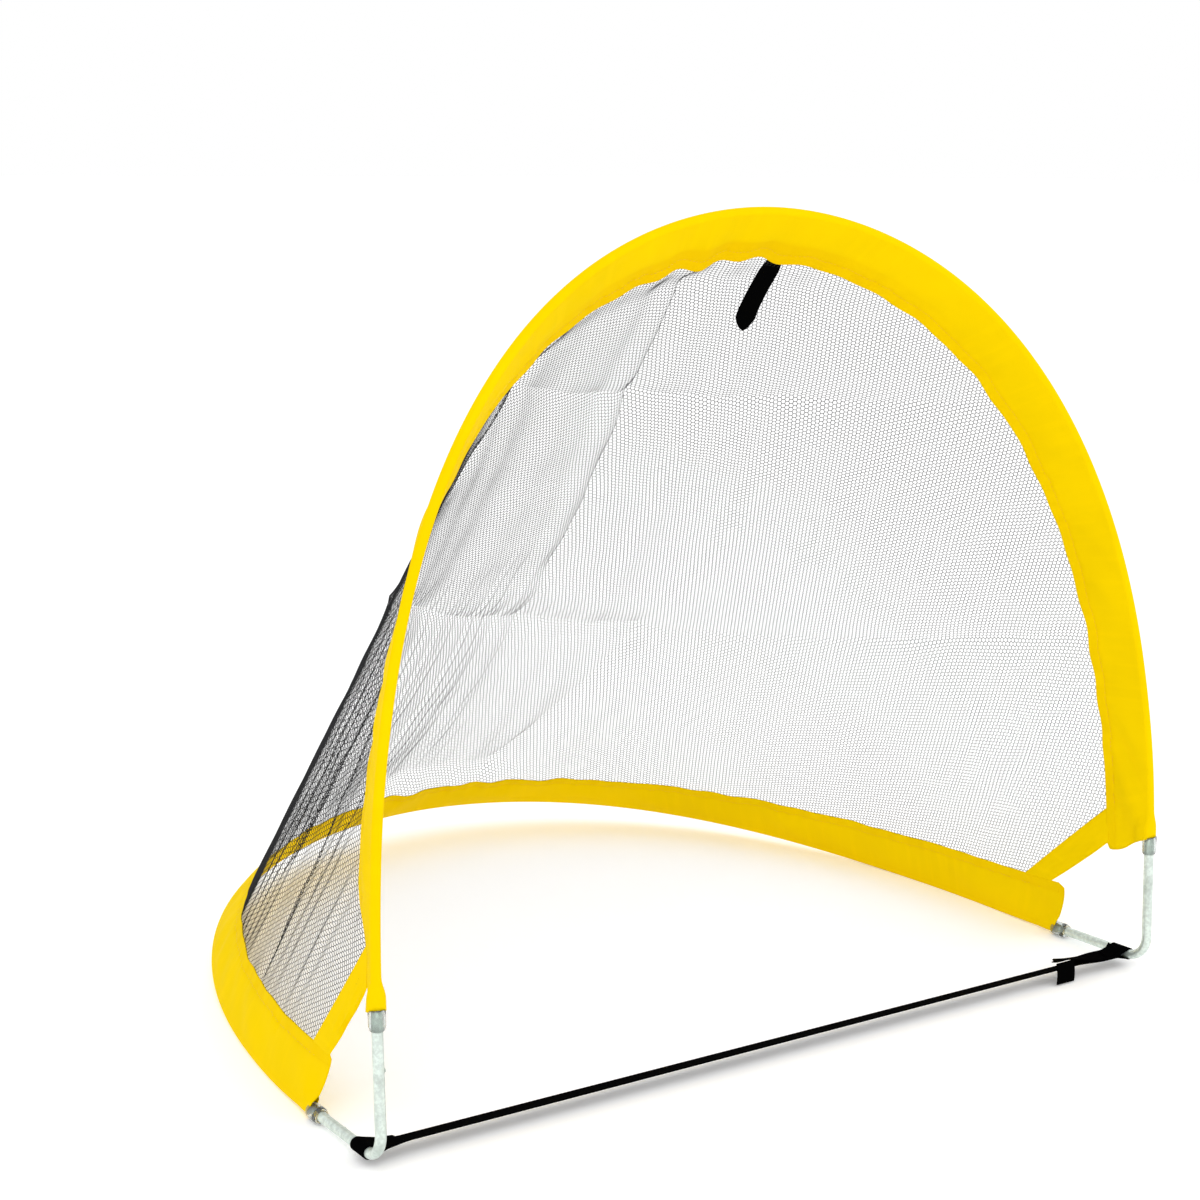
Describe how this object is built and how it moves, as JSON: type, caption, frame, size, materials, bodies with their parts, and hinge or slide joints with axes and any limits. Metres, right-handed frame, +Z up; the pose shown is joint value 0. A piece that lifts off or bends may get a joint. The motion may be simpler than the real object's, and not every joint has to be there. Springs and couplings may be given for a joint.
{
  "type": "folding soccer goal",
  "caption": "Pop-up soccer goal: hooped rods in yellow sleeves on bent steel feet, a net between the hoops and a strap between the feet.",
  "frame": {"origin": "centre of the outline's box, on the floor", "axes": "+X to the right seen from in front, +Y from the mouth to the rear hoop, +Z up"},
  "size_m": [0.9152, 0.7918, 0.7953],
  "materials": {
    "galvanised_steel": "satin galvanised tube",
    "clear_plastic": "clear, slightly cloudy",
    "rod_fibreglass": "smooth pultruded rod",
    "yellow_cloth": "plain woven polyester, slight sheen",
    "black_net": "fine knotless mesh",
    "black_webbing": "flat woven webbing"
  },
  "bodies": {
    "standing_frame": {"left_foot_tube": "galvanised_steel", "right_foot_tube": "galvanised_steel", "front_left_bush": "clear_plastic", "front_right_bush": "clear_plastic", "rear_left_bush": "clear_plastic", "rear_right_bush": "clear_plastic", "front_left_rivet": "galvanised_steel", "front_right_rivet": "galvanised_steel", "rear_left_rivet": "galvanised_steel", "rear_right_rivet": "galvanised_steel", "front_left_rod_end": "rod_fibreglass", "front_right_rod_end": "rod_fibreglass", "rear_rod": "rod_fibreglass", "rear_sleeve": "yellow_cloth", "left_corner_tape": "yellow_cloth", "right_corner_tape": "yellow_cloth", "net_panel_1": "black_net", "net_panel_2": "black_net", "net_panel_3": "black_net", "net_panel_4": "black_net", "net_panel_5": "black_net", "net_panel_6": "black_net", "net_panel_7": "black_net", "net_panel_8": "black_net", "net_panel_9": "black_net", "ground_strap": "black_webbing"},
    "front_arch": {"front_rod": "rod_fibreglass", "front_sleeve": "yellow_cloth"},
    "crown_tie": {"crown_tie": "black_webbing"},
    "strap_tab": {"strap_tab": "black_webbing"}
  },
  "joints": [
    {"name": "arch_fold", "type": "hinge", "parent": "standing_frame", "child": "front_arch", "pos_m": [0, -0.38409, 0.15439], "axis": [-1, 0, 0], "range_deg": [0, 84], "stiffness_Nm_per_rad": 0.8, "springref_deg": -34.38, "deforming": ["front_sleeve", "rear_sleeve", "left_corner_tape", "right_corner_tape", "net_panel_1", "net_panel_2", "net_panel_3", "net_panel_4", "net_panel_5", "net_panel_6", "net_panel_7", "net_panel_8", "net_panel_9"]},
    {"name": "tie_lift", "type": "hinge", "parent": "front_arch", "child": "crown_tie", "pos_m": [0.04619, -0.2378, 0.74656], "axis": [0.9948, -0.0764, -0.0678], "range_deg": [0, 120]},
    {"name": "strap_release", "type": "hinge", "parent": "standing_frame", "child": "strap_tab", "pos_m": [0.3545, -0.36972, 0.0248], "axis": [-1, 0, 0], "range_deg": [0, 160]}
  ]
}
